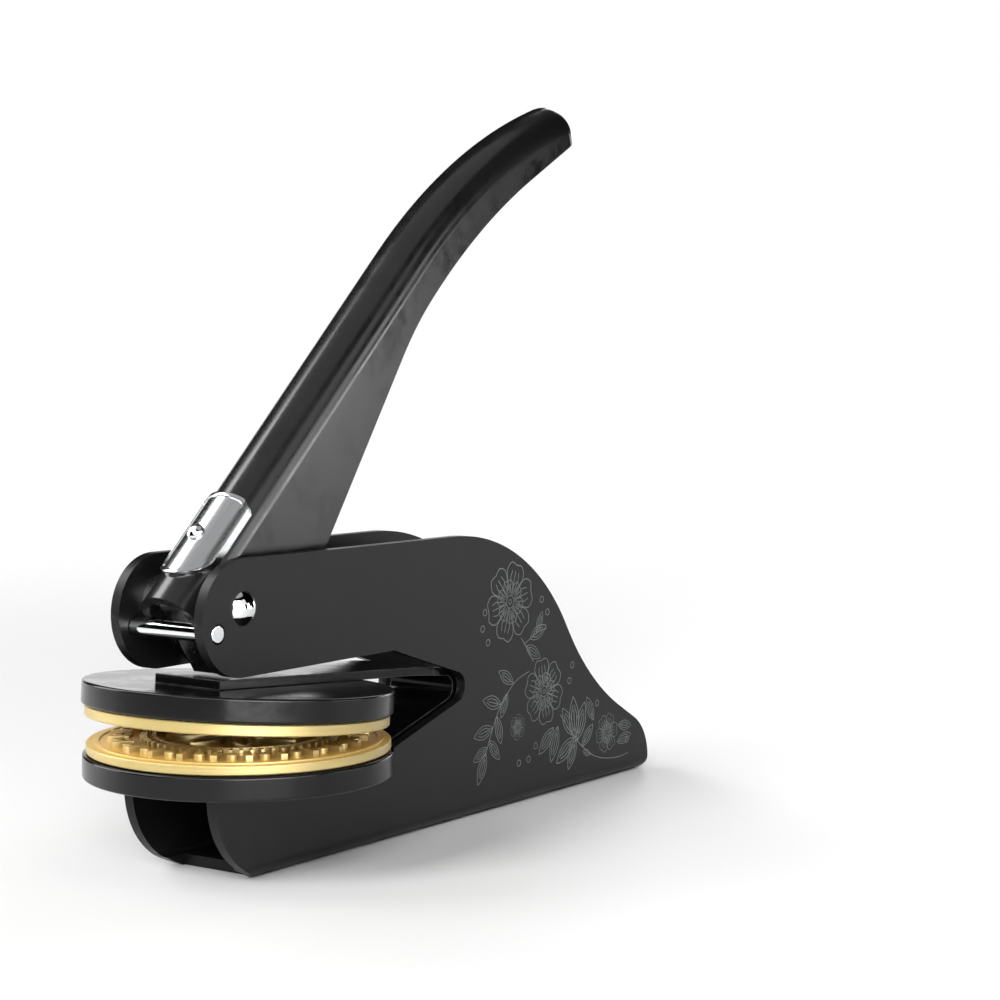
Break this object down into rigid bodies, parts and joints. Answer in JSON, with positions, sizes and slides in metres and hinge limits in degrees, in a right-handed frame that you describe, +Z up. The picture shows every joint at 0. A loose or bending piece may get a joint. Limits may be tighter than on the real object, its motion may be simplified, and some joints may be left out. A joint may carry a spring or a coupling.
{
  "type": "hand-held seal embosser",
  "caption": "Hand-held seal embosser: folded steel frame, curved hand lever with a press cam, and a removable hairpin insert with round brass dies.",
  "frame": {"origin": "on the flat underside of the frame, in its mid-plane, below the centre of the dies", "axes": "+X from the dies towards the heel, +Y across the frame, +Z up"},
  "size_m": [0.1147, 0.042, 0.1072],
  "materials": {
    "body_paint": "satin powder coat",
    "lever_paint": "satin powder coat",
    "holder_black": "semi-gloss black",
    "leaf_black": "semi-gloss black spring steel",
    "chrome": "polished",
    "steel": "zinc plated",
    "screw_black": "black oxide",
    "brass": "satin turned and brushed",
    "pad": "matt adhesive"
  },
  "bodies": {
    "frame_body": {"frame": "body_paint", "pivot_rivet": "chrome", "pivot_sleeve": "steel", "lever_spacer_near": "steel", "lever_spacer_far": "steel", "stop_pin": "chrome"},
    "hand_lever": {"lever": "lever_paint", "press_cam": "steel", "cam_pin": "steel", "nameplate": "chrome", "nameplate_rivet": "chrome"},
    "die_insert": {"lower_leaf": "leaf_black", "lower_holder": "holder_black", "lower_pad": "pad", "lower_die": "brass", "lower_leaf_screws": "screw_black"},
    "upper_jaw": {"upper_leaf": "leaf_black", "upper_holder": "holder_black", "upper_pad": "pad", "upper_die": "brass", "upper_leaf_screws": "screw_black"}
  },
  "joints": [
    {"name": "lever_hinge", "type": "hinge", "parent": "frame_body", "child": "hand_lever", "pos_m": [-0.00825, 0, 0.0362], "axis": [0, 1, 0], "range_deg": [0, 40], "stiffness_Nm_per_rad": 0.3, "springref_deg": -17.19},
    {"name": "insert_slide", "type": "slide", "parent": "frame_body", "child": "die_insert", "axis": [-1, 0, 0], "range_m": [0, 0.06]},
    {"name": "jaw_flex", "type": "hinge", "parent": "die_insert", "child": "upper_jaw", "pos_m": [0.0324, 0, 0.02305], "axis": [0, 1, 0], "range_deg": [-4.2, 0]}
  ],
  "couplings": [
    {"joint": "jaw_flex", "follows": "lever_hinge", "ratio": -0.105}
  ]
}
